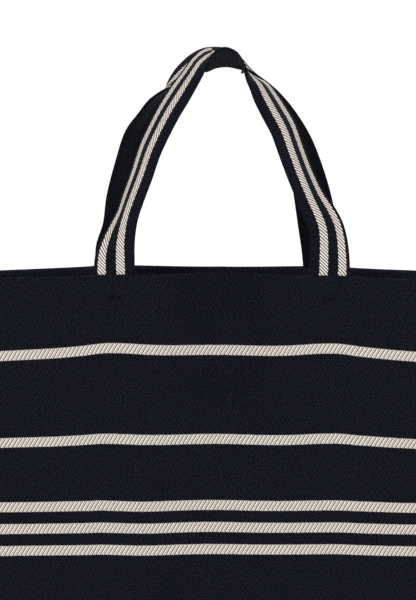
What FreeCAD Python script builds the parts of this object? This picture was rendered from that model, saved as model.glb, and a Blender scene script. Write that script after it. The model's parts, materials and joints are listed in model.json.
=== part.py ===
import FreeCAD, Part
import math
import os

import Sketcher
from FreeCAD import Vector

# A soft lined tote bag that stands on its base. Millimetres, +Z up, front towards -Y.
# The origin is the middle of the base's underside.

SIZES = {
    "bag_width": 450,        # outside, left to right
    "bag_height": 395,       # floor to rim
    "base_depth": 130,       # outside, front to back, at the floor
    "mouth_depth": 72,       # outside, front to back, at the rim
    "canvas_thickness": 1.6,
    "lining_thickness": 0.9,
    "facing_thickness": 1.0,
    "facing_drop": 45,       # how far the facing reaches down from the rim
    "handle_spacing": 168,   # middle of one leg to middle of the other
    "handle_rise": 169,      # pivot to the middle of the strap at the top
    "handle_width": 32,
    "strap_thickness": 1.8,
    "backing_thickness": 1.4,
    "end_thickness": 2.4,    # a handle end, pressed flat by its sewing
    "end_drop": 36,          # how far a handle end reaches down inside the rim
    "top_half_width": 15,    # middle of the loop to the corner where it bends over
    "top_roll": 122,         # degrees that the strap twists from its leg to the top
    "tack_drop": 18,         # rim to the middle of a tack
    "tack_width": 10,
    "tack_height": 2.5,
    "tack_thickness": 0.5,
    "swing_clearance": 0.4,  # handle to rim, all round the swing
    "handle_gap": 0.8,       # between the two loops where they lean together
}

SECTIONS_PER_LEG = 12
STRAIGHT_SHARE = 0.12        # of the rise, where a leg stands straight up from the rim
ROLL_POWER = 1.5             # above 1, the strap turns over more towards the top
UPRIGHT = 90                 # degrees from the floor's plane to a loop that stands up
FRONT = -1
BACK = 1

doc = FreeCAD.newDocument("tote_bag")
sheet = doc.addObject("Spreadsheet::Sheet", "Sizes")
for row, (alias, value) in enumerate(SIZES.items(), start=1):
    sheet.set(f"A{row}", alias.replace("_", " "))
    sheet.set(f"B{row}", str(value))
    sheet.setAlias(f"B{row}", alias)
doc.recompute()


def size(alias):
    """A driving dimension, read from the sheet."""
    return float(getattr(sheet, alias))


def bound(alias):
    """A driving dimension as a term of an expression."""
    return f"Sizes.{alias}"


WIDTH = bound("bag_width")
HEIGHT = bound("bag_height")
CANVAS = bound("canvas_thickness")
LINING = f"{CANVAS} + {bound('lining_thickness')}"
END = f"{CANVAS} + {bound('end_thickness')}"
HEM = f"{END} + {bound('facing_thickness')}"
FACING_FOOT = f"{HEIGHT} - {bound('facing_drop')}"
END_FOOT = f"{HEIGHT} - {bound('end_drop')}"
LEG = f"{bound('handle_spacing')} / 2"


def reach(inset, level):
    """Distance from the middle plane to a leaning wall's layer, inset mm in, at a level."""
    lean = f"({bound('base_depth')} - {bound('mouth_depth')}) / 2 * ({level}) / {HEIGHT}"
    return f"{bound('base_depth')} / 2 - ({inset}) - {lean}"


def origin_plane(body, role):
    return next(item for item in body.Origin.OriginFeatures if item.Role == role)


def outline(body, name, corners):
    """A closed sketch seen along X: each corner is a side, a reach and a level."""
    sketch = body.newObject("Sketcher::SketchObject", name)
    sketch.AttachmentSupport = [(origin_plane(body, "YZ_Plane"), "")]
    sketch.MapMode = "FlatFace"
    rough = [Vector(side * (20 + 5 * (index % 3)), 10 * index, 0)
             for index, (side, _, _) in enumerate(corners)]
    count = len(corners)
    for index in range(count):
        sketch.addGeometry(Part.LineSegment(rough[index], rough[(index + 1) % count]), False)
    for index in range(count):
        sketch.addConstraint(Sketcher.Constraint("Coincident", index, 2, (index + 1) % count, 1))
    for index, (side, across, level) in enumerate(corners):
        sign = "-1 * " if side < 0 else ""
        for kind, value, rough_value in (
            ("DistanceX", f"{sign}({across})", rough[index].x),
            ("DistanceY", f"{level}", rough[index].y),
        ):
            number = sketch.addConstraint(
                Sketcher.Constraint(kind, -1, 1, index, 1, rough_value))
            sketch.setExpression(f"Constraints[{number}]", value)
    return sketch


def padded_body(name, corners, length, symmetric=True, shift=None):
    """A layer of cloth: an outline seen along X, padded along X."""
    body = doc.addObject("PartDesign::Body", name)
    body.Label = name
    sketch = outline(body, f"{name}_outline", corners)
    pad = body.newObject("PartDesign::Pad", f"{name}_pad")
    pad.Profile = sketch
    pad.SideType = "Symmetric" if symmetric else "One side"
    pad.setExpression("Length", length)
    if shift is not None:
        body.setExpression("Placement.Base.x", shift)
    return body


def wall_layer(side, outer, inner, foot, top):
    """Corners of a layer of the front or back wall, between two insets and two levels."""
    return [
        (side, reach(outer, foot), foot),
        (side, reach(inner, foot), foot),
        (side, reach(inner, top), top),
        (side, reach(outer, top), top),
    ]


def between_walls(inset, foot, top):
    """Corners of a sheet that fills the space between the front and back walls."""
    return [
        (FRONT, reach(inset, foot), foot),
        (BACK, reach(inset, foot), foot),
        (BACK, reach(inset, top), top),
        (FRONT, reach(inset, top), top),
    ]


def cut_end_pocket(body, name, side, across):
    """The hollow in a facing that one handle end lies in."""
    sketch = outline(body, f"{name}_outline", wall_layer(side, CANVAS, END, END_FOOT, HEIGHT))
    sketch.setExpression("AttachmentOffset.Base.z", across)
    pocket = body.newObject("PartDesign::Pocket", name)
    pocket.Profile = sketch
    pocket.SideType = "Symmetric"
    pocket.setExpression("Length", bound("handle_width"))


def make_shell():
    """The canvas, lining and facings of the bag, in the order that they are sewn."""
    nodes = []
    inside_width = f"{WIDTH} - 2 * {CANVAS}"
    for wall, side in (("front", FRONT), ("back", BACK)):
        nodes.append(padded_body(
            f"{wall}_panel", wall_layer(side, "0", CANVAS, "0", HEIGHT), WIDTH))
        nodes.append(padded_body(
            f"{wall}_lining", wall_layer(side, CANVAS, LINING, CANVAS, FACING_FOOT),
            inside_width))
        facing = padded_body(
            f"{wall}_facing", wall_layer(side, CANVAS, HEM, FACING_FOOT, HEIGHT), inside_width)
        for leg, sign in (("left", "-1 * "), ("right", "")):
            cut_end_pocket(facing, f"{wall}_{leg}_end_pocket", side, f"{sign}{LEG}")
        nodes.append(facing)
    for wall, is_left in (("left", True), ("right", False)):
        for kind, inset, near, far, foot, top in (
            ("side_panel", CANVAS, "0", CANVAS, "0", HEIGHT),
            ("side_lining", LINING, CANVAS, LINING, CANVAS, FACING_FOOT),
            ("facing", HEM, CANVAS, HEM, FACING_FOOT, HEIGHT),
        ):
            shift = f"-{WIDTH} / 2 + {near}" if is_left else f"{WIDTH} / 2 - ({far})"
            nodes.append(padded_body(
                f"{wall}_{kind}", between_walls(inset, foot, top),
                f"({far}) - ({near})", symmetric=False, shift=shift))
    nodes.append(padded_body("base_panel", between_walls(CANVAS, "0", CANVAS), inside_width))
    nodes.append(padded_body(
        "base_lining", between_walls(LINING, CANVAS, LINING), f"{WIDTH} - 2 * ({LINING})"))
    return nodes


def make_handle_ends():
    """The four sewn ends of the handles, and the tacks that hold them."""
    nodes = []
    half_tack = f"{bound('tack_height')} / 2"
    tack_top = f"{HEIGHT} - {bound('tack_drop')} + {half_tack}"
    tack_foot = f"{HEIGHT} - {bound('tack_drop')} - {half_tack}"
    for wall, side in (("front", FRONT), ("back", BACK)):
        for leg, sign in (("left", "-1 * "), ("right", "")):
            nodes.append(padded_body(
                f"{wall}_{leg}_handle_end", wall_layer(side, CANVAS, END, END_FOOT, HEIGHT),
                bound("handle_width"), shift=f"{sign}{LEG}"))
            nodes.append(padded_body(
                f"{wall}_{leg}_tack",
                wall_layer(side, f"-{bound('tack_thickness')}", "0", tack_foot, tack_top),
                bound("tack_width"), shift=f"{sign}{LEG}"))
    return nodes


def loop_middle_line():
    """Points and inward normals of half a loop, from the left leg's foot to the top.

    Plane coordinates: x to the right, y up along the leaning loop. The leg stands
    straight, leans in, and turns over at the top, so the loop is a pointed arch.
    """
    half_spacing = size("handle_spacing") / 2
    rise = size("handle_rise")
    corner = size("top_half_width")
    curve = Part.BezierCurve()
    curve.setPoles([
        Vector(-half_spacing, STRAIGHT_SHARE * rise, 0),
        Vector(-half_spacing, 0.45 * rise, 0),
        Vector(-2.9 * corner, 0.70 * rise, 0),
        Vector(-corner, rise, 0),
        Vector(0, rise, 0),
    ])
    points = [Vector(-half_spacing, size("swing_clearance"), 0)]
    normals = [Vector(1, 0, 0)]
    for step in range(SECTIONS_PER_LEG):
        share = step / (SECTIONS_PER_LEG - 1)
        along = curve.tangent(share)[0]
        points.append(curve.value(share))
        normals.append(Vector(along.y, -along.x, 0))
    return points, normals


def loop_frames():
    """Middle points, width directions and outer-face directions round the whole loop."""
    points, inward = loop_middle_line()
    face_front = Vector(0, 0, 1)
    straight_end = STRAIGHT_SHARE * size("handle_rise")
    frames = []
    for point, normal in zip(points, inward):
        share = max(0.0, (point.y - straight_end) / (size("handle_rise") - straight_end))
        roll = math.radians(size("top_roll")) * share ** ROLL_POWER
        across = normal * math.cos(roll) + face_front * math.sin(roll)
        outer = face_front * math.cos(roll) - normal * math.sin(roll)
        frames.append((point, across, outer))
    for point, across, outer in reversed(frames[:-1]):
        frames.append((
            Vector(-point.x, point.y, 0),
            Vector(-across.x, across.y, across.z),
            Vector(-outer.x, outer.y, outer.z)))
    return frames


def ribbon(frames, low, high):
    """A layer of the strap: from low to high along the outer-face direction."""
    half = size("handle_width") / 2
    sections = []
    for point, across, outer in frames:
        corners = [point + across * side * half + outer * level
                   for side, level in ((-1, low), (1, low), (1, high), (-1, high))]
        sections.append(Part.makePolygon(corners + [corners[0]]))
    return Part.makeLoft(sections, True, True)


def loop_lean(strap_offset):
    """Lean of a loop, in degrees, that brings its top beside the other loop's."""
    roll = math.radians(size("top_roll"))
    thickness = size("strap_thickness") + size("backing_thickness")
    half_reach = (size("handle_width") * math.sin(roll) + thickness * abs(math.cos(roll))) / 2
    pivot_reach = (size("mouth_depth") - size("canvas_thickness")) / 2
    inward = pivot_reach - strap_offset - half_reach - size("handle_gap") / 2
    return math.degrees(math.asin(inward / size("handle_rise")))


def make_handles():
    """Two loops of strap, each on a pivot line just above its rim."""
    nodes = []
    frames = loop_frames()
    half_thickness = (size("strap_thickness") + size("backing_thickness")) / 2
    offset = size("canvas_thickness") / 2 + size("swing_clearance") + half_thickness
    lean = loop_lean(offset)
    split = half_thickness - size("strap_thickness")
    pivot_reach = (size("mouth_depth") - size("canvas_thickness")) / 2
    pivot_level = size("bag_height") + size("swing_clearance")
    beside_pivot = FreeCAD.Placement(Vector(0, 0, -offset), FreeCAD.Rotation())
    at_rim = FreeCAD.Placement(
        Vector(0, -pivot_reach, pivot_level),
        FreeCAD.Rotation(Vector(1, 0, 0), UPRIGHT - lean))
    for wall, turn in (("front", 0), ("back", 180)):
        turned = FreeCAD.Placement(Vector(0, 0, 0), FreeCAD.Rotation(Vector(0, 0, 1), turn))
        for layer, low, high in (
            ("strap", split, half_thickness), ("backing", -half_thickness, split),
        ):
            node = doc.addObject("Part::Feature", f"{wall}_handle_{layer}")
            node.Label = f"{wall}_handle_{layer}"
            node.Shape = ribbon(frames, low, high)
            node.Placement = turned.multiply(at_rim).multiply(beside_pivot)
            nodes.append(node)
    return nodes


def export(nodes):
    """Checks every object of the document, then writes one file per node."""
    doc.recompute()
    for item in doc.Objects:
        if "Invalid" in item.State or "Error" in item.State:
            raise RuntimeError(f"{item.Label} failed: {item.State}")
    for node in nodes:
        if node.Shape.isNull() or not node.Shape.isValid():
            raise RuntimeError(f"{node.Label} has no valid shape")
    os.makedirs("parts", exist_ok=True)
    for node in nodes:
        node.Shape.exportStep(f"parts/{node.Label}.step")
        box = node.Shape.BoundBox
        print(f"{node.Label}: {node.Shape.Volume:.0f} mm3, "
              f"x {box.XMin:.1f}..{box.XMax:.1f}, y {box.YMin:.1f}..{box.YMax:.1f}, "
              f"z {box.ZMin:.1f}..{box.ZMax:.1f}")


export(make_shell() + make_handle_ends() + make_handles())
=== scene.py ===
import bpy
import json
import math
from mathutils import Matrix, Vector, noise


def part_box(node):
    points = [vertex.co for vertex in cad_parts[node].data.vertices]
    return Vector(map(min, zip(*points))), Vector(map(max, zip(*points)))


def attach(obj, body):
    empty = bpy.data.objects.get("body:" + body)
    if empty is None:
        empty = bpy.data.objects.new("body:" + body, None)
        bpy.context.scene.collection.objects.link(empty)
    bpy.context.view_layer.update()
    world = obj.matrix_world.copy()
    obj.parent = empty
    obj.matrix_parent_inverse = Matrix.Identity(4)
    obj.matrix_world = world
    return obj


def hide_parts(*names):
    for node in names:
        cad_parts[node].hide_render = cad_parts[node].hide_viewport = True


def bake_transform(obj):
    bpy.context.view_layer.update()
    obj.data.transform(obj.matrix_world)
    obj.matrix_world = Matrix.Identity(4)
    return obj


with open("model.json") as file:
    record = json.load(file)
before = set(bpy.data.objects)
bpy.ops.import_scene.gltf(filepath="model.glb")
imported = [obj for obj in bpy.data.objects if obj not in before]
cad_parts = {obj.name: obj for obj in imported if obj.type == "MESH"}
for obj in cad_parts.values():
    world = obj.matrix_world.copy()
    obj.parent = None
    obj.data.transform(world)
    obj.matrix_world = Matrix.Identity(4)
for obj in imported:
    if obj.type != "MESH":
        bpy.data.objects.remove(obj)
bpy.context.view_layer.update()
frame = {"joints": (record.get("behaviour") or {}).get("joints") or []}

MM = 0.001
FRONT = -1
BACK = 1
LEFT = -1
RIGHT = 1

# ---- sizes read from the frame ------------------------------------------------------

wall_low, wall_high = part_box("front_panel")
hem_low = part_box("front_facing")[0]
end_low, end_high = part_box("front_right_handle_end")
tack_low, tack_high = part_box("front_right_tack")
loop_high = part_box("front_handle_strap")[1]
swing = next(item for item in frame["joints"] if item["name"] == "front_handle_swing")
PIVOT_REACH = -swing["pos_m"][1]

HALF_WIDTH = wall_high[0]
HEIGHT = wall_high[2]
BASE_REACH = -wall_low[1]
CANVAS = 2 * (PIVOT_REACH + wall_high[1])
MOUTH_REACH = PIVOT_REACH + CANVAS / 2
HEM_DROP = HEIGHT - hem_low[2]
LEG = (end_low[0] + end_high[0]) / 2
STRAP_WIDTH = end_high[0] - end_low[0]
END_FOOT = end_low[2]
TACK_LEVEL = (tack_low[2] + tack_high[2]) / 2
LOOP_RISE = loop_high[2] - HEIGHT

# ---- sizes of the cloth -------------------------------------------------------------

CORNER = 9 * MM              # radius of the upright corners
FOOT = 9 * MM                # radius of the bottom edge
CLOTH = 1.3 * MM             # thickness of one layer of canvas
LINING_INSET = 1.8 * MM
LINING_CLOTH = 0.7 * MM
FACING_CLOTH = 1.1 * MM
STRAP_INSET = 2.9 * MM       # wall face to the middle of a handle end
STRAP_LAYER = 1.6 * MM
BACKING_LAYER = 1.4 * MM
FRONT_PINCH = 21 * MM        # how far each rim falls in between the handles
BACK_PINCH = 9 * MM
LEFT_PINCH = 12 * MM         # and towards the left corner
GUSSET_FOLD = 24 * MM        # how far a side falls in at the rim
BELLY = 5 * MM
DROOP_LOW = 0.027            # fall per unit of distance beyond a handle, lower down
DROOP_HIGH = 0.048           # what is added to it higher up
DROOP_EASED = 0.03           # and what the stiff hem takes off again
DROOP_START = 25 * MM        # the fall comes on over this much of the way
HANDLE_LIFT = 1.2 * MM       # the cloth is held up under the handles
RIM_DROP = 1.6 * MM
MIDDLE_SINK = 2.6 * MM
RIPPLE = 1.7 * MM
CREASE = 0.9 * MM
SIDE_RIPPLE = 2.0 * MM
DIMPLE = 3.2 * MM            # how far a tack pulls the wall in
DIMPLE_WIDE = 5 * MM
DIMPLE_TALL = 2.2 * MM
PUCKER = 0.4 * MM
PUCKER_PITCH = 2.6 * MM
HEM_TUCK = 4 * MM            # how far a lining goes up under its facing
RIM_GAP = 0.4 * MM           # a facing's edge lies this far under the rim
END_MARGIN = 3 * MM          # a facing is lifted this far beyond a handle end
END_SLOPE = 9 * MM
END_GAP = 0.4 * MM
STRIPE_HALF = 3.9 * MM
STRIPE_MIDDLE = HEIGHT / 2 + 0.3 * MM
STRIPE_OFFSETS = (0, 17.2 * MM, -17.2 * MM, 69.1 * MM, -69.1 * MM, 138.9 * MM, -138.9 * MM)
STRAP_STRIPES = ((11.1 * MM, 3.3 * MM), (25.8 * MM, 3.15 * MM))
WALL_TWILL = (math.radians(59), 2.8 * MM)     # ribs' angle to the stripes, and their pitch
STRAP_TWILL = (math.radians(48), 3.6 * MM)
RIB_DEPTH = 0.25 * MM


def smooth(low, high, value):
    """0 below low, 1 above high, and an S curve between them."""
    share = min(1.0, max(0.0, (value - low) / (high - low)))
    return share * share * (3 - 2 * share)


def bump(middle, reach, value):
    """1 at the middle, falling to nearly 0 at three reaches from it."""
    return math.exp(-((value - middle) / reach) ** 2 / 2)


# ---- the shape that every layer of the bag follows ----------------------------------

def reach_at(level):
    """Distance from the middle plane to the front or back wall, before it sags."""
    return BASE_REACH + (MOUTH_REACH - BASE_REACH) * level / HEIGHT


def droop(level, across, rise):
    """A level once the cloth has sunk away from the handles, which hold it up."""
    beyond = max(0.0, across - LEG)
    slope = DROOP_LOW * smooth(0.0, 0.5, rise) + DROOP_HIGH * smooth(0.5, 0.85, rise)
    slope -= DROOP_EASED * smooth(0.86, 1.0, rise)
    level -= slope * beyond * smooth(0, DROOP_START, beyond)
    level += HANDLE_LIFT * bump(LEG, 20 * MM, across) * bump(0.86, 0.13, rise)
    level -= RIM_DROP * bump(LEG, 70 * MM, across) * smooth(0.9, 1.0, rise)
    if across < LEG:
        sink = smooth(0.45, 0.9, rise) * (1 - smooth(0.88, 1.0, rise))
        level -= MIDDLE_SINK * sink * math.cos(math.pi / 2 * across / LEG) ** 2
    return level


def tack_pull(across, level):
    """(dimple, pucker): how far the nearest tack pulls the wall in, and its small folds."""
    off = ((across - LEG) / DIMPLE_WIDE) ** 2 + ((level - TACK_LEVEL) / DIMPLE_TALL) ** 2
    dimple = DIMPLE * math.exp(-off)
    folds = math.cos((across - LEG) / PUCKER_PITCH) * math.exp(-off / 12)
    return dimple, PUCKER * folds


def sag(point):
    """Moves a point of the neat bag to where the soft bag has it."""
    x, y, z = point
    rise = z / HEIGHT
    across = abs(x)
    reach = reach_at(z)
    depth = max(-1.0, min(1.0, y / reach))
    strap_edge = LEG - STRAP_WIDTH / 2 - 2 * MM
    towards_rim = smooth(0.3, 1.0, rise)
    pinch = FRONT_PINCH if y < 0 else BACK_PINCH
    if across < strap_edge:
        y -= depth * pinch * towards_rim * math.cos(math.pi / 2 * across / strap_edge) ** 2
    if x < 0:
        y -= depth * LEFT_PINCH * towards_rim * smooth(LEG + 20 * MM, HALF_WIDTH, across)
    y += depth * BELLY * math.sin(math.pi * rise) * (1 - (across / HALF_WIDTH) ** 2)
    at_side = smooth(0.8 * HALF_WIDTH, 0.985 * HALF_WIDTH, across)
    fold = GUSSET_FOLD * smooth(0.05, 1.0, rise) ** 0.7 * (1 - abs(depth) ** 1.3)
    x -= math.copysign(fold * at_side, x)
    z = droop(z, across, rise)
    loose = smooth(0.0, 0.25, rise) * (1 - smooth(0.86, 0.97, rise))
    # The ripple is slow; the crease is finer and runs aslant.
    ripple = noise.noise(Vector((x * 11, depth * 2, z * 5)))
    crease = noise.noise(Vector((x * 24 + z * 9, depth * 3 + 7, z * 16 - x * 6)))
    y += depth * loose * (RIPPLE * ripple + CREASE * crease)
    x += math.copysign(at_side * loose * (SIDE_RIPPLE * crease + SIDE_RIPPLE * ripple), x)
    if abs(depth) > 0.8:
        dimple, pucker = tack_pull(across, z)
        y -= depth * dimple
        y -= depth * pucker
    return Vector((x, y, z))


def wall_profile(climb, inset):
    """(distance in from the wall's face, level) for a distance up the cloth."""
    arc = FOOT * math.pi / 4
    if climb < arc:
        angle = math.pi / 4 - climb / FOOT
        radius = FOOT - inset
        return FOOT - radius * math.cos(angle), FOOT - radius * math.sin(angle)
    return inset, FOOT + climb - arc


CLOTH_HEIGHT = HEIGHT - FOOT * (1 - math.pi / 4)
STRAIGHT = HALF_WIDTH - CORNER
WALL_HALF = STRAIGHT + CORNER * math.pi / 4
HEM_START = CLOTH_HEIGHT - HEM_DROP


def round_corner(along, straight, inward):
    """(distance along the wall, distance back from its face) past the straight stretch."""
    turned = max(0.0, abs(along) - straight) / CORNER
    radius = CORNER - inward
    sideways = min(abs(along), straight) + radius * math.sin(turned)
    return math.copysign(sideways, along), CORNER - radius * math.cos(turned)


def wall_point(side, along, climb, inset):
    """A point of the front or back wall, from its place on the flat cloth."""
    inward, level = wall_profile(climb, inset)
    x, back = round_corner(along, STRAIGHT, inward)
    neat = Vector((x, side * (reach_at(level) - back), level))
    return sag(neat) + draped("wall", side, along / WALL_HALF, climb)


def gusset_half(climb):
    """Half the width of a side's cloth at a distance up it."""
    return reach_at(wall_profile(climb, 0)[1]) - CORNER * (1 - math.pi / 4)


def gusset_point(side, share, climb, inset):
    """A point of a side: share runs from -1 at the front seam to 1 at the back one."""
    inward, level = wall_profile(climb, inset)
    straight = reach_at(level) - CORNER
    y, back = round_corner(share * gusset_half(climb), straight, inward)
    neat = Vector((side * (HALF_WIDTH - back), y, level))
    return sag(neat) + draped("gusset", side, share, climb)


def base_point(share_x, share_y, inset):
    """A point of the base, which curves up to its seam with the walls."""
    seam_in = FOOT * (1 - math.cos(math.pi / 4))
    half_x = HALF_WIDTH - seam_in
    half_y = reach_at(0) - seam_in
    radius = CORNER - seam_in
    x = abs(share_x) * half_x
    y = abs(share_y) * half_y
    over_x = x - (half_x - radius)
    over_y = y - (half_y - radius)
    if over_x > 0 and over_y > 0:
        shrink = max(over_x, over_y) / math.hypot(over_x, over_y)
        x = half_x - radius + over_x * shrink
        y = half_y - radius + over_y * shrink
    edge = seam_in + min(half_x - x, half_y - y)
    curve = FOOT - inset
    level = inset
    if edge < FOOT:
        level = FOOT - math.sqrt(max(0.0, curve ** 2 - (FOOT - edge) ** 2))
    return sag(Vector((math.copysign(x, share_x), math.copysign(y, share_y), level)))


# ---- the drape, by cloth simulation -------------------------------------------------

WALL_STEPS = 60
GUSSET_STEPS = 18
CLIMB_STEPS = 48
DRAPE_FRAMES = 30
SPARE_CLOTH = 0.012          # the cloth is cut this much larger than the neat bag
DRAPE_LIMIT = 6 * MM         # no point moves further than this
DRAPE_UPRIGHT = 0.4          # share of each move's vertical part that is kept
EVENINGS = 6                 # times that each move is evened with its two neighbours
drape_moves = {}


def draped(kind, side, share, climb):
    """How far the simulated cloth moved at a place on a wall or side, share from -1 to 1."""
    grid = drape_moves.get((kind, side))
    if grid is None:
        return Vector((0, 0, 0))
    steps = len(grid[0]) - 1
    across = min(max((share + 1) / 2 * steps, 0), steps - 1e-6)
    up = min(max(climb / CLOTH_HEIGHT * CLIMB_STEPS, 0), CLIMB_STEPS - 1e-6)
    i, j = int(across), int(up)
    low = grid[j][i].lerp(grid[j][i + 1], across - i)
    high = grid[j + 1][i].lerp(grid[j + 1][i + 1], across - i)
    return low.lerp(high, up - j)


def ring_of_columns():
    """Every column of the shell once round, as (kind, side, share), seams shared."""
    ring = []
    for kind, side, steps, start in (
        ("wall", FRONT, WALL_STEPS, -1), ("gusset", RIGHT, GUSSET_STEPS, -1),
        ("wall", BACK, WALL_STEPS, 1), ("gusset", LEFT, GUSSET_STEPS, 1),
    ):
        for step in range(steps):
            ring.append((kind, side, start * (1 - 2 * step / steps)))
    return ring


def shell_point(kind, side, share, climb):
    """A point of the outer face, on whichever wall or side it is."""
    if kind == "wall":
        return wall_point(side, share * WALL_HALF, climb, 0)
    return gusset_point(side, share, climb, 0)


def shell_object(rest, climbs):
    """The closed shell of the four walls, with its base and rim in the group "held"."""
    count = len(rest[0])
    faces = []
    for row in range(CLIMB_STEPS):
        for step in range(count):
            a = row * count + step
            b = row * count + (step + 1) % count
            faces.append((a, b, b + count, a + count))
    mesh = bpy.data.meshes.new("drape")
    mesh.from_pydata([tuple(point) for line in rest for point in line], [], faces)
    shell = bpy.data.objects.new("drape", mesh)
    bpy.context.scene.collection.objects.link(shell)
    held = shell.vertex_groups.new(name="held")
    for row, climb in enumerate(climbs):
        near_rim = smooth(HEM_START, CLOTH_HEIGHT, climb)
        near_base = 1 - smooth(0, FOOT, climb)
        weight = max(near_rim, near_base)
        held.add([row * count + step for step in range(count)], weight, "REPLACE")
    return shell


def run_cloth(shell):
    """Plays the shell as cloth, and gives its vertices at the last frame."""
    cloth = shell.modifiers.new("cloth", "CLOTH")
    settings = cloth.settings
    settings.quality = 8
    settings.mass = 0.15
    settings.tension_stiffness = 40
    settings.compression_stiffness = 40
    settings.shear_stiffness = 15
    settings.bending_stiffness = 6
    settings.shrink_min = -SPARE_CLOTH
    settings.vertex_group_mass = "held"
    cloth.point_cache.frame_start = 1
    cloth.point_cache.frame_end = DRAPE_FRAMES
    for number in range(1, DRAPE_FRAMES + 1):
        bpy.context.scene.frame_set(number)
    settled = shell.evaluated_get(bpy.context.evaluated_depsgraph_get())
    return [vertex.co.copy() for vertex in settled.data.vertices]


def limited(move):
    """A move with its vertical part reduced and its length kept under the limit."""
    move.z *= DRAPE_UPRIGHT
    if move.length > 0:
        move *= DRAPE_LIMIT * math.tanh(move.length / DRAPE_LIMIT) / move.length
    return move


def evened(line):
    """Each move of a closed row, averaged with its two neighbours."""
    count = len(line)
    return [(line[step - 1] + line[step] + line[(step + 1) % count]) / 3
            for step in range(count)]


def keep_moves(moved):
    """Cuts the rows of moves into a grid for each wall and side."""
    count = len(moved[0])
    for kind, side, first, steps, backwards in (
        ("wall", FRONT, 0, WALL_STEPS, False),
        ("gusset", RIGHT, WALL_STEPS, GUSSET_STEPS, False),
        ("wall", BACK, WALL_STEPS + GUSSET_STEPS, WALL_STEPS, True),
        ("gusset", LEFT, 2 * WALL_STEPS + GUSSET_STEPS, GUSSET_STEPS, True),
    ):
        grid = []
        for line in moved:
            part = [line[(first + step) % count] for step in range(steps + 1)]
            grid.append(part[::-1] if backwards else part)
        drape_moves[(kind, side)] = grid


def simulate_drape():
    """Runs the shell as cloth, held at its base and rim, and keeps how far it moved."""
    ring = ring_of_columns()
    climbs = [CLOTH_HEIGHT * row / CLIMB_STEPS for row in range(CLIMB_STEPS + 1)]
    rest = [[shell_point(*column, climb) for column in ring] for climb in climbs]
    shell = shell_object(rest, climbs)
    settled = run_cloth(shell)
    moved = []
    for row, line in enumerate(rest):
        first = row * len(ring)
        moved.append([limited(settled[first + step] - point) for step, point in enumerate(line)])
    bpy.context.scene.frame_set(1)
    bpy.data.objects.remove(shell)
    for _ in range(EVENINGS):
        moved = [evened(line) for line in moved]
    keep_moves(moved)


# ---- meshes -------------------------------------------------------------------------

EDGE_BULGE = 0.45            # how far a cut edge is rounded out, as a share of its thickness
WALL_COLUMNS, WALL_ROWS = 181, 150
SIDE_COLUMNS, SIDE_ROWS = 49, 110
BASE_COLUMNS, BASE_ROWS = 91, 41
LINING_ROWS = 60
FACING_ROWS = 20


def new_object(name, vertices, faces, places, material):
    """A mesh object whose UV map holds each vertex's place on the flat cloth, in metres."""
    mesh = bpy.data.meshes.new(name)
    mesh.from_pydata([tuple(vertex) for vertex in vertices], [], faces)
    flat = mesh.uv_layers.new(name="cloth")
    for loop in mesh.loops:
        flat.data[loop.index].uv = places[loop.vertex_index]
    mesh.materials.append(material)
    mesh.validate()
    mesh.polygons.foreach_set("use_smooth", [True] * len(mesh.polygons))
    piece = bpy.data.objects.new(name, mesh)
    bpy.context.scene.collection.objects.link(piece)
    return piece


def spread(low, high, count):
    """Evenly spaced values from low to high, both included."""
    return [low + (high - low) * step / (count - 1) for step in range(count)]


def cloth_layer(name, point, columns, rows, outer, inner, material, place=None):
    """A layer of cloth with rounded edges: point(column, row, inset) gives its surface.

    The section goes over the outer face, round the edge and back over the inner face.
    """
    wide = len(columns)
    tall = len(rows)
    middle = (outer + inner) / 2
    vertices = []
    places = []
    grids = []
    for inset in (outer, inner):
        grid = []
        for row in rows:
            for column in columns:
                grid.append(len(vertices))
                vertices.append(point(column, row, inset))
                places.append(place(column, row) if place else (column, row))
        grids.append(grid)
    faces = []
    front, back = grids
    for j in range(tall - 1):
        for i in range(wide - 1):
            a = j * wide + i
            faces.append((front[a], front[a + 1], front[a + 1 + wide], front[a + wide]))
            faces.append((back[a + wide], back[a + 1 + wide], back[a + 1], back[a]))
    border = list(range(wide))
    border += [j * wide + wide - 1 for j in range(1, tall)]
    border += [(tall - 1) * wide + i for i in range(wide - 2, -1, -1)]
    border += [j * wide for j in range(tall - 2, 0, -1)]
    ring = []
    for number in border:
        j, i = divmod(number, wide)
        here = point(columns[i], rows[j], middle)
        inside = point(columns[min(max(i, 1), wide - 2)], rows[min(max(j, 1), tall - 2)], middle)
        outward = (here - inside).normalized() * abs(inner - outer) * EDGE_BULGE
        ring.append(len(vertices))
        vertices.append(here + outward)
        places.append(places[number])
    count = len(border)
    for step in range(count):
        a, b = border[step], border[(step + 1) % count]
        c, d = ring[step], ring[(step + 1) % count]
        faces.append((front[b], front[a], c, d))
        faces.append((d, c, back[a], back[b]))
    return new_object(name, vertices, faces, places, material)


# ---- materials ----------------------------------------------------------------------

NAVY = (0.0008, 0.0009, 0.0026)
NAVY_LIGHT = (0.0092, 0.0096, 0.0165)
CREAM = (0.74, 0.68, 0.61)
CREAM_RIB = (0.10, 0.088, 0.082)
LINING_LIGHT = (0.022, 0.024, 0.034)
# The tack thread is near-black, darker than the navy, as painted shade of the dimple round each
# tack.
THREAD_DARK_PAINTED_SHADE = (0.0002, 0.0002, 0.0003)
THREAD_LIGHT_PAINTED_SHADE = (0.001, 0.001, 0.002)
SHEEN_TINT = (0.55, 0.6, 0.8)
DULL = 0.06                  # how strongly canvas and thread mirror the light

# Each noise is (scale per metre, detail).
WEAVE = (900, 2)
SLUB = (160, 3)
CLOUD = (14, 3)
FLECK = (780, 2)
LINING_CLOUD = (20, 3)

WANDER = 0.5 * MM            # how far threads stray from their line
RAGGED = 0.18 * MM           # how far the ribs notch a stripe's edge
RIB_MIDDLE = 0.44
RIB_CONTRAST = 0.75
SPECKLE = 2.5
LINING_PITCH = 0.9 * MM

# Sockets of a Mix node that mixes colours.
MIX_FIRST, MIX_SECOND, MIX_RESULT = 6, 7, 2


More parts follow.
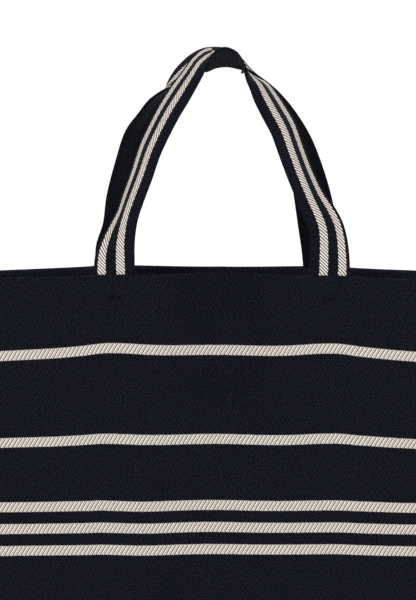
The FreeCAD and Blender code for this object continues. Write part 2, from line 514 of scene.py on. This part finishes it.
class Nodes:
    """A short way to wire a material's nodes."""

    def __init__(self, name):
        self.material = bpy.data.materials.new(name)
        self.material.use_nodes = True
        self.tree = self.material.node_tree
        self.shader = self.tree.nodes["Principled BSDF"]

    def put(self, socket, value):
        if hasattr(value, "links"):
            self.tree.links.new(value, socket)
        else:
            socket.default_value = value

    def math(self, operation, *values):
        node = self.tree.nodes.new("ShaderNodeMath")
        node.operation = operation
        for socket, value in zip(node.inputs, values):
            self.put(socket, value)
        return node.outputs[0]

    def noise(self, vector, scale, detail):
        node = self.tree.nodes.new("ShaderNodeTexNoise")
        self.put(node.inputs["Vector"], vector)
        node.inputs["Scale"].default_value = scale
        node.inputs["Detail"].default_value = detail
        return node.outputs["Fac"]

    def mix(self, share, first, second):
        node = self.tree.nodes.new("ShaderNodeMix")
        node.data_type = "RGBA"
        self.put(node.inputs["Factor"], share)
        self.put(node.inputs[MIX_FIRST], first)
        self.put(node.inputs[MIX_SECOND], second)
        return node.outputs[MIX_RESULT]

    def cloth_place(self):
        """(place along X of the flat cloth, place up it, both as a vector), in metres."""
        node = self.tree.nodes.new("ShaderNodeUVMap")
        node.uv_map = "cloth"
        parts = self.tree.nodes.new("ShaderNodeSeparateXYZ")
        self.tree.links.new(node.outputs["UV"], parts.inputs[0])
        return parts.outputs["X"], parts.outputs["Y"], node.outputs["UV"]

    def bump(self, amount, depth):
        node = self.tree.nodes.new("ShaderNodeBump")
        node.inputs["Strength"].default_value = 1.0
        node.inputs["Distance"].default_value = depth
        self.put(node.inputs["Height"], amount)
        self.tree.links.new(node.outputs["Normal"], self.shader.inputs["Normal"])


def opaque(colour):
    return (*colour, 1.0)


def fabric(name, stripes=(), stripes_run="across", twill=WALL_TWILL, coarse=0.32, tone=1.0):
    """Navy twill with cream stripes: stripes are (middle, half width) on the flat cloth.

    The ribs of the twill cross the stripes at one angle, so they turn with the stripes.
    coarse is how much of the contrast comes from every second rib being lighter.
    """
    nodes = Nodes(name)
    x, y, place = nodes.cloth_place()
    along, over = (x, y) if stripes_run == "across" else (y, x)
    weave = nodes.noise(place, *WEAVE)
    slub = nodes.noise(place, *SLUB)
    cloud = nodes.noise(place, *CLOUD)
    wander = nodes.math("MULTIPLY", nodes.math("SUBTRACT", slub, 0.5), WANDER)
    angle, pitch = twill
    down = nodes.math("MULTIPLY", over, math.cos(angle) / pitch)
    ahead = nodes.math("MULTIPLY", along, math.sin(angle) / pitch)
    phase = nodes.math("SUBTRACT", ahead, down)
    phase = nodes.math("ADD", phase, nodes.math("MULTIPLY", wander, 0.25 / MM))
    wave = nodes.math("SINE", nodes.math("MULTIPLY", phase, 2 * math.pi))
    fine = nodes.math("SINE", nodes.math("MULTIPLY", phase, 4 * math.pi))
    rib = nodes.math("MULTIPLY_ADD", wave, coarse, RIB_MIDDLE)
    rib = nodes.math("MULTIPLY_ADD", fine, RIB_CONTRAST - coarse, rib)
    thread = nodes.math("MULTIPLY_ADD", weave, 0.3, nodes.math("SUBTRACT", rib, 0.15))
    striped = 0.0
    for middle, half in stripes:
        off = nodes.math("ABSOLUTE", nodes.math("SUBTRACT", over, middle))
        ragged = nodes.math("MULTIPLY_ADD", wave, RAGGED, nodes.math("ADD", off, wander))
        inside = nodes.math("LESS_THAN", ragged, half)
        striped = nodes.math("MAXIMUM", striped, inside)
    fleck = nodes.noise(place, *FLECK)
    speckle = nodes.math("MULTIPLY", nodes.math("SUBTRACT", fleck, 0.5), SPECKLE)
    light = nodes.math("MULTIPLY_ADD", thread, 0.3, nodes.math("MULTIPLY", cloud, 0.22))
    light = nodes.math("ADD", light, 0.08)
    light = nodes.math("ADD", light, speckle)
    # tone scales the navy; the facing's raised tone is painted light.
    navy = nodes.mix(light, opaque([part * tone for part in NAVY]),
                     opaque([part * tone for part in NAVY_LIGHT]))
    cream = nodes.mix(thread, opaque(CREAM_RIB), opaque(CREAM))
    nodes.put(nodes.shader.inputs["Base Color"], nodes.mix(striped, navy, cream))
    nodes.put(nodes.shader.inputs["Roughness"], nodes.math("MULTIPLY_ADD", thread, -0.1, 0.92))
    nodes.shader.inputs["Specular IOR Level"].default_value = DULL
    nodes.shader.inputs["Sheen Weight"].default_value = 0.02
    nodes.shader.inputs["Sheen Roughness"].default_value = 0.5
    nodes.shader.inputs["Sheen Tint"].default_value = opaque(SHEEN_TINT)
    height = nodes.math("MULTIPLY_ADD", striped, 0.5, thread)
    nodes.bump(height, RIB_DEPTH)
    return nodes.material


def lining_fabric():
    """A plain weave, finer and flatter than the canvas."""
    nodes = Nodes("lining_weave")
    x, y, place = nodes.cloth_place()
    pitch = 2 * math.pi / LINING_PITCH
    warp = nodes.math("SINE", nodes.math("MULTIPLY", x, pitch))
    weft = nodes.math("SINE", nodes.math("MULTIPLY", y, pitch))
    check = nodes.math("MULTIPLY_ADD", nodes.math("MULTIPLY", warp, weft), 0.35, 0.5)
    cloud = nodes.noise(place, *LINING_CLOUD)
    share = nodes.math("MULTIPLY_ADD", cloud, 0.4, nodes.math("MULTIPLY", check, 0.5))
    colour = nodes.mix(share, opaque(NAVY), opaque(LINING_LIGHT))
    nodes.put(nodes.shader.inputs["Base Color"], colour)
    nodes.put(nodes.shader.inputs["Roughness"], nodes.math("MULTIPLY_ADD", cloud, 0.1, 0.78))
    nodes.shader.inputs["Specular IOR Level"].default_value = 0.3
    nodes.bump(check, 0.12 * MM)
    return nodes.material


def thread_material():
    """Twisted sewing thread, made near-black, darker than the navy cloth, as painted shade of the
    dimple that it sits in.
    """
    nodes = Nodes("tack_thread_painted_shade")
    x, y, place = nodes.cloth_place()
    twist = nodes.math("SINE", nodes.math("MULTIPLY", nodes.math("ADD", x, y), 2 * math.pi))
    share = nodes.math("MULTIPLY_ADD", twist, 0.4, 0.5)
    colour = nodes.mix(share, opaque(THREAD_DARK_PAINTED_SHADE), opaque(THREAD_LIGHT_PAINTED_SHADE))
    nodes.put(nodes.shader.inputs["Base Color"], colour)
    nodes.shader.inputs["Roughness"].default_value = 0.8
    nodes.shader.inputs["Specular IOR Level"].default_value = DULL
    nodes.bump(share, 0.05 * MM)
    return nodes.material


cloth_start = HEIGHT - CLOTH_HEIGHT
body_stripes = [(STRIPE_MIDDLE - cloth_start + offset, STRIPE_HALF)
                for offset in STRIPE_OFFSETS]
canvas = fabric("striped_canvas", body_stripes)
plain_canvas = fabric("plain_canvas", tone=0.8)
# The facing's navy is raised 2.4 times over the walls' as painted light, making up for the shade
# inside the mouth of the bag.
facing_canvas_painted_light = fabric("facing_canvas_painted_light", tone=2.4)
strap_canvas = fabric("strap_canvas", STRAP_STRIPES, "along", STRAP_TWILL, coarse=0.08)
lining_cloth = lining_fabric()
thread = thread_material()


# ---- the bag ------------------------------------------------------------------------

def over_handle_end(along):
    """How far a facing stands off its wall, which is more where a handle end lies in it."""
    near = STRAP_WIDTH / 2 + END_MARGIN
    lifted = 1 - smooth(near, near + END_SLOPE, abs(abs(along) - LEG))
    return LINING_INSET + (STRAP_INSET - LINING_INSET + STRAP_LAYER + END_GAP) * lifted


def put_on_bag(piece, node, slot):
    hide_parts(node)
    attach(piece, "bag")


def make_walls():
    for side, wall in ((FRONT, "front"), (BACK, "back")):
        def face(along, climb, inset):
            return wall_point(side, along, climb, inset)

        def facing_face(along, climb, inset):
            return wall_point(side, along, climb, inset + over_handle_end(along))

        columns = spread(-WALL_HALF, WALL_HALF, WALL_COLUMNS)
        panel = cloth_layer(f"{wall}_canvas", face, columns,
                            spread(0, CLOTH_HEIGHT, WALL_ROWS), 0, CLOTH, canvas)
        put_on_bag(panel, f"{wall}_panel", "striped_canvas")
        lining = cloth_layer(f"{wall}_lining_cloth", face, columns[::2],
                             spread(0, HEM_START + HEM_TUCK, LINING_ROWS),
                             LINING_INSET, LINING_INSET + LINING_CLOTH, lining_cloth)
        put_on_bag(lining, f"{wall}_lining", "lining_cloth")
        facing = cloth_layer(f"{wall}_facing_cloth", facing_face, columns,
                             spread(HEM_START, CLOTH_HEIGHT - RIM_GAP, FACING_ROWS),
                             LINING_CLOTH, LINING_CLOTH + FACING_CLOTH, facing_canvas_painted_light)
        put_on_bag(facing, f"{wall}_facing", "plain_canvas")


def make_gussets():
    for side, wall in ((LEFT, "left"), (RIGHT, "right")):
        def face(share, climb, inset):
            return gusset_point(side, share, climb, inset)

        def place(share, climb):
            return (share * gusset_half(climb), climb)

        base_half = gusset_half(0)
        mean_half = (base_half + gusset_half(CLOTH_HEIGHT)) / 2
        hem_half = gusset_half(HEM_START)
        shares = spread(-1, 1, SIDE_COLUMNS)
        panel = cloth_layer(f"{wall}_side_canvas", face, shares,
                            spread(0, CLOTH_HEIGHT, SIDE_ROWS), 0, CLOTH, canvas, place)
        put_on_bag(panel, f"{wall}_side_panel", "striped_canvas")
        lining = cloth_layer(f"{wall}_side_lining_cloth", face, shares,
                             spread(0, HEM_START + HEM_TUCK, LINING_ROWS),
                             LINING_INSET, LINING_INSET + LINING_CLOTH, lining_cloth, place)
        put_on_bag(lining, f"{wall}_side_lining", "lining_cloth")
        start = LINING_INSET + LINING_CLOTH
        facing = cloth_layer(f"{wall}_facing_cloth", face, shares,
                             spread(HEM_START, CLOTH_HEIGHT - RIM_GAP, FACING_ROWS),
                             start, start + FACING_CLOTH, facing_canvas_painted_light, place)
        put_on_bag(facing, f"{wall}_facing", "plain_canvas")


def make_base():
    half_x = WALL_HALF
    half_y = gusset_half(0)

    def place(share_x, share_y):
        return (share_x * half_x, share_y * half_y)

    for name, node, slot, outer, inner, material in (
        ("base_canvas", "base_panel", "striped_canvas", 0, CLOTH, plain_canvas),
        ("base_lining_cloth", "base_lining", "lining_cloth",
         LINING_INSET, LINING_INSET + LINING_CLOTH, lining_cloth),
    ):
        piece = cloth_layer(name, base_point, spread(-1, 1, BASE_COLUMNS),
                            spread(-1, 1, BASE_ROWS), outer, inner, material, place)
        put_on_bag(piece, node, slot)


# ---- the handles --------------------------------------------------------------------

# A loop from its left foot to its right, followed along the strap's inner edge. Each row
# is the edge's distance from the middle as a share of the leg's, its height as a share of
# the loop's rise, the roll of the strap there, and how far it curls on towards its outer
# edge, both in degrees.
FRONT_LOOP = (
    (-0.810, 0.00, 0, 0),
    (-0.812, 0.07, 0, 18),
    (-0.811, 0.14, 4, 44),
    (-0.785, 0.23, 8, 66),
    (-0.730, 0.31, 14, 60),
    (-0.650, 0.41, 18, 54),
    (-0.565, 0.525, 20, 50),
    (-0.425, 0.66, 20, 50),
    (-0.306, 0.757, 26, 44),
    (-0.195, 0.86, 46, 28),
    (-0.150, 0.912, 58, 16),
    (-0.118, 0.943, 84, 4),
    (-0.088, 0.960, 121, 0),
    (-0.030, 0.975, 118, 0),
    (0.030, 0.977, 117, 0),
    (0.108, 0.964, 121, 0),
    (0.158, 0.938, 113, 0),
    (0.190, 0.905, 99, 2),
    (0.200, 0.872, 80, 12),
    (0.214, 0.838, 52, 32),
    (0.242, 0.800, 28, 46),
    (0.280, 0.752, 12, 56),
    (0.365, 0.675, 4, 60),
    (0.446, 0.605, 2, 60),
    (0.510, 0.525, 2, 60),
    (0.600, 0.415, 2, 60),
    (0.700, 0.305, 4, 54),
    (0.765, 0.240, 8, 40),
    (0.806, 0.180, 6, 28),
    (0.812, 0.090, 2, 12),
    (0.810, 0.00, 0, 0),
)
BACK_LOOP = (
    (-0.810, 0.00, 0, 0),
    (-0.812, 0.08, 0, 16),
    (-0.800, 0.18, 4, 40),
    (-0.785, 0.30, 8, 42),
    (-0.735, 0.43, 10, 46),
    (-0.655, 0.56, 10, 48),
    (-0.575, 0.655, 20, 50),
    (-0.525, 0.725, 38, 38),
    (-0.505, 0.775, 68, 15),
    (-0.495, 0.815, 98, 0),
    (-0.440, 0.865, 114, 0),
    (-0.355, 0.912, 121, 0),
    (-0.255, 0.950, 124, 0),
    (-0.140, 0.972, 120, 0),
    (0.010, 0.972, 114, 0),
    (0.110, 0.960, 108, 0),
    (0.215, 0.915, 98, 2),
    (0.310, 0.850, 76, 16),
    (0.410, 0.765, 44, 40),
    (0.505, 0.670, 26, 48),
    (0.600, 0.555, 14, 48),
    (0.665, 0.430, 8, 40),
    (0.715, 0.300, 4, 28),
    (0.755, 0.180, 2, 18),
    (0.790, 0.080, 0, 8),
    (0.810, 0.00, 0, 0),
)
HANDLE_ROOM = 1.5 * MM       # between each handle and the plane that they lean towards
KNOT_HALF = 17 * MM          # half the width of the turned strap at the top of a loop
CURL_TURN = math.radians(150)    # the curl comes on near the inner edge, then eases
STATIONS_PER_ROW = 5
SMOOTHED = 4                 # stations each way that the strap's direction is evened over
ACROSS = 17
EDGE_TURNS = (45, 90, 135)   # degrees round a strap's edge, from its outer to its inner face
LEAN_TOP = 27 * MM           # a loop's top stands this far out, or more where its strap needs it
RIM_SLACK = 0.7 * MM         # a strap lies this much further in at the rim than in the hem
RIM_OVER = 1 * MM            # and may stand this much further out above it
TURN_START = 0.84            # the strap turns to hang down between these shares of the rise
TURN_END = 0.93
SEWN_UNDER = 2 * MM          # a strap follows the wall up to here under the rim
FREE_OVER = 4 * MM           # and is free from here above it
BACKING_TRIM = 0.5 * MM      # the backing is this much narrower on each side


def catmull(rows, number, share):
    """A smooth value between two rows of a list, as a tuple."""
    last = len(rows) - 1
    picks = [rows[min(max(number + step, 0), last)] for step in (-1, 0, 1, 2)]
    values = []
    for before, start, end, after in zip(*picks):
        pull_in = (end - before) / 2
        pull_out = (after - start) / 2
        cubic = 2 * start - 2 * end + pull_in + pull_out
        square = 3 * end - 3 * start - 2 * pull_in - pull_out
        values.append(((cubic * share + square) * share + pull_in) * share + start)
    return tuple(values)


def depth_needed(roll, curl):
    """How far out an inner edge has to be for its strap to stay on its own side."""
    step = STRAP_WIDTH / (ACROSS - 1)
    reached = 0.0
    furthest = 0.0
    for number in range(ACROSS):
        share = number / (ACROSS - 1)
        reached += step * math.sin(roll + curl * math.sin(CURL_TURN * share))
        furthest = max(furthest, reached)
    return furthest + BACKING_LAYER + HANDLE_ROOM


def loop_stations(side, rows):
    """(inner edge, inward direction, roll, curl) round a loop, from left foot to right."""
    rim_reach = MOUTH_REACH - STRAP_INSET - RIM_SLACK
    foot = LEG - STRAP_WIDTH / 2
    below = [(Vector((-foot, side * (reach_at(level) - STRAP_INSET), level)), 0.0, 0.0)
             for level in spread(END_FOOT, HEIGHT - SEWN_UNDER, 8)]
    loop = []
    for number in range(len(rows) - 1):
        for step in range(STATIONS_PER_ROW):
            x, rise, roll, curl = catmull(rows, number, step / STATIONS_PER_ROW)
            reach = rim_reach + (LEAN_TOP - rim_reach) * smooth(0, 1, rise)
            needed = depth_needed(math.radians(roll), math.radians(curl))
            reach = max(reach, min(needed, rim_reach + RIM_OVER))
            edge = Vector((x * LEG, side * reach, HEIGHT + rise * LOOP_RISE))
            loop.append((edge, math.radians(roll), math.radians(curl)))
    last = (Vector((foot, side * rim_reach, HEIGHT)), 0.0, 0.0)
    mirrored = [(Vector((-edge.x, edge.y, edge.z)), roll, curl)
                for edge, roll, curl in reversed(below)]
    whole = below + loop + [last] + mirrored
    inwards = []
    for number in range(len(whole)):
        before = whole[max(number - 1, 0)][0]
        after = whole[min(number + 1, len(whole) - 1)][0]
        along = after - before
        inwards.append(Vector((along.z, 0, -along.x)).normalized())
    stations = []
    for number, (edge, roll, curl) in enumerate(whole):
        low = max(number - SMOOTHED, 0)
        high = min(number + SMOOTHED, len(whole) - 1)
        inward = sum(inwards[low:high + 1], Vector((0, 0, 0))).normalized()
        spread_to = max(-KNOT_HALF, min(KNOT_HALF, 2 * edge.x))
        hanging = Vector((spread_to - edge.x, 0, -KNOT_HALF)).normalized()
        at_top = smooth(HEIGHT + TURN_START * LOOP_RISE, HEIGHT + TURN_END * LOOP_RISE, edge.z)
        inward = inward.lerp(hanging, at_top).normalized()
        stations.append((edge, inward, roll, curl))
    return stations


def follow_wall(side, point):
    """Carries a strap point inside the bag with the wall that it is sewn to."""
    sewn = 1 - smooth(HEIGHT - SEWN_UNDER, HEIGHT + FREE_OVER, point.z)
    if sewn == 0:
        return point
    climb = point.z - (HEIGHT - CLOTH_HEIGHT)
    moved = sag(point) + draped("wall", side, point.x / WALL_HALF, climb)
    return point.lerp(moved, sewn)


def strap_section(side, station, trim, rounding):
    """Points across a strap at a station, as (place, normal, distance across, direction)."""
    edge, inward, roll, curl = station
    forward = Vector((0, side, 0))
    width = STRAP_WIDTH - 2 * (trim + rounding)
    step = STRAP_WIDTH / (ACROSS - 1)
    point = edge.copy()
    section = []
    for number in range(ACROSS):
        share = number / (ACROSS - 1)
        angle = roll + curl * math.sin(CURL_TURN * share)
        direction = -inward * math.cos(angle) - forward * math.sin(angle)
        normal = forward * math.cos(angle) - inward * math.sin(angle)
        kept = trim + rounding + share * width
        spot = point + direction * (kept - share * STRAP_WIDTH)
        section.append((spot, normal, kept, direction))
        point += direction * step
    return section


def rounded_edge(end, way, low, high, turns):
    """Points round one edge of a strap: way is 1 at the outer edge and -1 at the inner one."""
    spot, normal, across, direction = end
    rounding = (high - low) / 2
    middle = (low + high) / 2
    points = []
    for turn in turns:
        angle = math.radians(turn)
        level = middle + rounding * math.cos(angle)
        points.append(spot + normal * level + direction * (way * rounding * math.sin(angle)))
    return points, across + way * rounding


def strap_layer(name, side, rows, trim, low, high, material):
    """One layer of a handle's strap, from low to high of its thickness, trimmed each side."""
    stations = loop_stations(side, rows)
    vertices = []
    places = []
    travelled = 0.0
    previous = stations[0][0]
    for station in stations:
        travelled += (station[0] - previous).length
        previous = station[0]
        section = strap_section(side, station, trim, (high - low) / 2)
        outer_points, outer_place = rounded_edge(section[-1], 1, low, high, EDGE_TURNS)
        inner_points, inner_place = rounded_edge(section[0], -1, low, high, EDGE_TURNS[::-1])
        vertices += [spot + normal * high for spot, normal, across, direction in section]
        places += [(across, travelled) for spot, normal, across, direction in section]
        vertices += outer_points
        places += [(outer_place, travelled)] * len(outer_points)
        vertices += [spot + normal * low for spot, normal, across, direction in section[::-1]]
        places += [(across, travelled) for spot, normal, across, direction in section[::-1]]
        vertices += inner_points
        places += [(inner_place, travelled)] * len(inner_points)
    ring = 2 * (ACROSS + len(EDGE_TURNS))
    faces = []
    for number in range(len(stations) - 1):
        for step in range(ring):
            a = number * ring + step
            b = number * ring + (step + 1) % ring
            quad = (a, b, b + ring, a + ring)
            faces.append(quad if side == BACK else quad[::-1])
    last = (len(stations) - 1) * ring
    caps = [tuple(range(ring)), tuple(last + step for step in reversed(range(ring)))]
    faces += [cap if side == FRONT else cap[::-1] for cap in caps]
    vertices = [follow_wall(side, vertex) for vertex in vertices]
    return new_object(name, vertices, faces, places, material)


def make_handles():
    for side, wall, rows in ((FRONT, "front", FRONT_LOOP), (BACK, "back", BACK_LOOP)):
        strap = strap_layer(f"{wall}_strap_cloth", side, rows, 0.0,
                            -0.1 * MM, STRAP_LAYER, strap_canvas)
        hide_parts(f"{wall}_handle_strap", f"{wall}_left_handle_end",
                    f"{wall}_right_handle_end")
        backing = strap_layer(f"{wall}_strap_backing", side, rows, BACKING_TRIM,
                              -BACKING_LAYER, -0.15 * MM, plain_canvas)
        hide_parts(f"{wall}_handle_backing")
        for piece in (strap, backing):
            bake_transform(piece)


STITCHES = 7
STITCH_PITCH = 1.2 * MM
STITCH_LENGTH = 2.6 * MM
STITCH_LIFT = 0.45 * MM
STITCH_SINK = 0.2 * MM
THREAD_RADIUS = 0.4 * MM
THREAD_TWIST = 0.35          # turns of the twist on each short length of thread
STITCH_STEPS = 8
THREAD_SIDES = 6


def tack_stitch(side, along):
    """(vertices, places) of one upright stitch, an arch of thread over the wall."""
    vertices = []
    places = []
    for step in range(STITCH_STEPS + 1):
        share = step / STITCH_STEPS - 0.5
        climb = TACK_LEVEL - (HEIGHT - CLOTH_HEIGHT) + share * STITCH_LENGTH
        lift = STITCH_LIFT * math.cos(math.pi * share)
        for corner in range(THREAD_SIDES):
            angle = 2 * math.pi / THREAD_SIDES * corner
            inset = STITCH_SINK - lift - THREAD_RADIUS * math.sin(angle)
            vertices.append(wall_point(side, along + THREAD_RADIUS * math.cos(angle), climb, inset))
            places.append((step * THREAD_TWIST, corner / THREAD_SIDES))
    return vertices, places


def tube_faces(first):
    """The faces of one stitch whose vertices start at number first."""
    faces = []
    for step in range(STITCH_STEPS):
        for corner in range(THREAD_SIDES):
            a = first + step * THREAD_SIDES + corner
            b = first + step * THREAD_SIDES + (corner + 1) % THREAD_SIDES
            faces.append((a, b, b + THREAD_SIDES, a + THREAD_SIDES))
    return faces


def make_tacks():
    """A bar of stitches at each handle end, sunk in the dimple that it pulls."""
    for side, wall in ((FRONT, "front"), (BACK, "back")):
        for sign, leg in ((LEFT, "left"), (RIGHT, "right")):
            vertices = []
            faces = []
            places = []
            for stitch in range(STITCHES):
                along = sign * LEG + (stitch - (STITCHES - 1) / 2) * STITCH_PITCH
                faces += tube_faces(len(vertices))
                stitch_vertices, stitch_places = tack_stitch(side, along)
                vertices += stitch_vertices
                places += stitch_places
            piece = new_object(f"{wall}_{leg}_tack_stitches", vertices, faces, places, thread)
            put_on_bag(piece, f"{wall}_{leg}_tack", "thread")


# ---- stage, light and camera --------------------------------------------------------

FLOOR_HALF = 12.0
LAMPS = (                    # name, place in metres, power in watts, size in metres
    ("key", (-1.3, -1.7, 1.9), 26, 1.2),
    ("fill", (1.6, -1.2, 1.0), 10, 1.5),
    ("back", (0.4, 1.6, 1.6), 14, 1.2),
)
LAMP_AIM = Vector((0, 0, 0.3))


def make_floor():
    """A pale, faintly glowing floor."""
    nodes = Nodes("studio_floor")
    nodes.shader.inputs["Base Color"].default_value = (0.9, 0.9, 0.9, 1)
    nodes.shader.inputs["Roughness"].default_value = 0.9
    nodes.shader.inputs["Emission Color"].default_value = (1, 1, 1, 1)
    nodes.shader.inputs["Emission Strength"].default_value = 0.15
    corners = [(-FLOOR_HALF, -FLOOR_HALF, 0), (FLOOR_HALF, -FLOOR_HALF, 0),
               (FLOOR_HALF, FLOOR_HALF, 0), (-FLOOR_HALF, FLOOR_HALF, 0)]
    floor = new_object("floor", corners, [(0, 1, 2, 3)],
                       [(x, y) for x, y, _ in corners], nodes.material)


def make_light():
    """A white surround and three soft lamps."""
    world = bpy.data.worlds.new("studio")
    world.use_nodes = True
    background = world.node_tree.nodes["Background"]
    background.inputs["Color"].default_value = (1, 1, 1, 1)
    background.inputs["Strength"].default_value = 1.02
    bpy.context.scene.world = world
    for name, place, power, reach in LAMPS:
        lamp = bpy.data.lights.new(name, "AREA")
        lamp.energy = power
        lamp.size = reach
        light = bpy.data.objects.new(name, lamp)
        light.location = place
        aim = LAMP_AIM - Vector(place)
        light.rotation_euler = aim.to_track_quat("-Z", "Y").to_euler()
        bpy.context.scene.collection.objects.link(light)


def make_camera():
    """The view: a close crop of the upper part, from just above the rim."""
    distance = 1.8
    view_height = 468 * MM
    azimuth = math.radians(1.9)
    elevation = math.radians(6.9)
    roll = math.radians(0.45)
    target = Vector((-11 * MM, -MOUTH_REACH, HEIGHT - 20 * MM))
    back = Vector((-math.sin(azimuth) * math.cos(elevation),
                   -math.cos(azimuth) * math.cos(elevation), math.sin(elevation)))
    lens = bpy.data.cameras.new("camera")
    lens.sensor_fit = "VERTICAL"
    lens.sensor_height = 24
    lens.lens = lens.sensor_height * distance / view_height
    camera = bpy.data.objects.new("camera", lens)
    camera.location = target + back * distance
    camera.rotation_euler = (-back).to_track_quat("-Z", "Y").to_euler()
    camera.rotation_euler.rotate_axis("Z", roll)
    bpy.context.scene.collection.objects.link(camera)
    bpy.context.scene.camera = camera
    bpy.context.scene.view_settings.view_transform = "Standard"


simulate_drape()
make_walls()
make_gussets()
make_base()
make_handles()
make_tacks()
make_floor()
make_light()
make_camera()
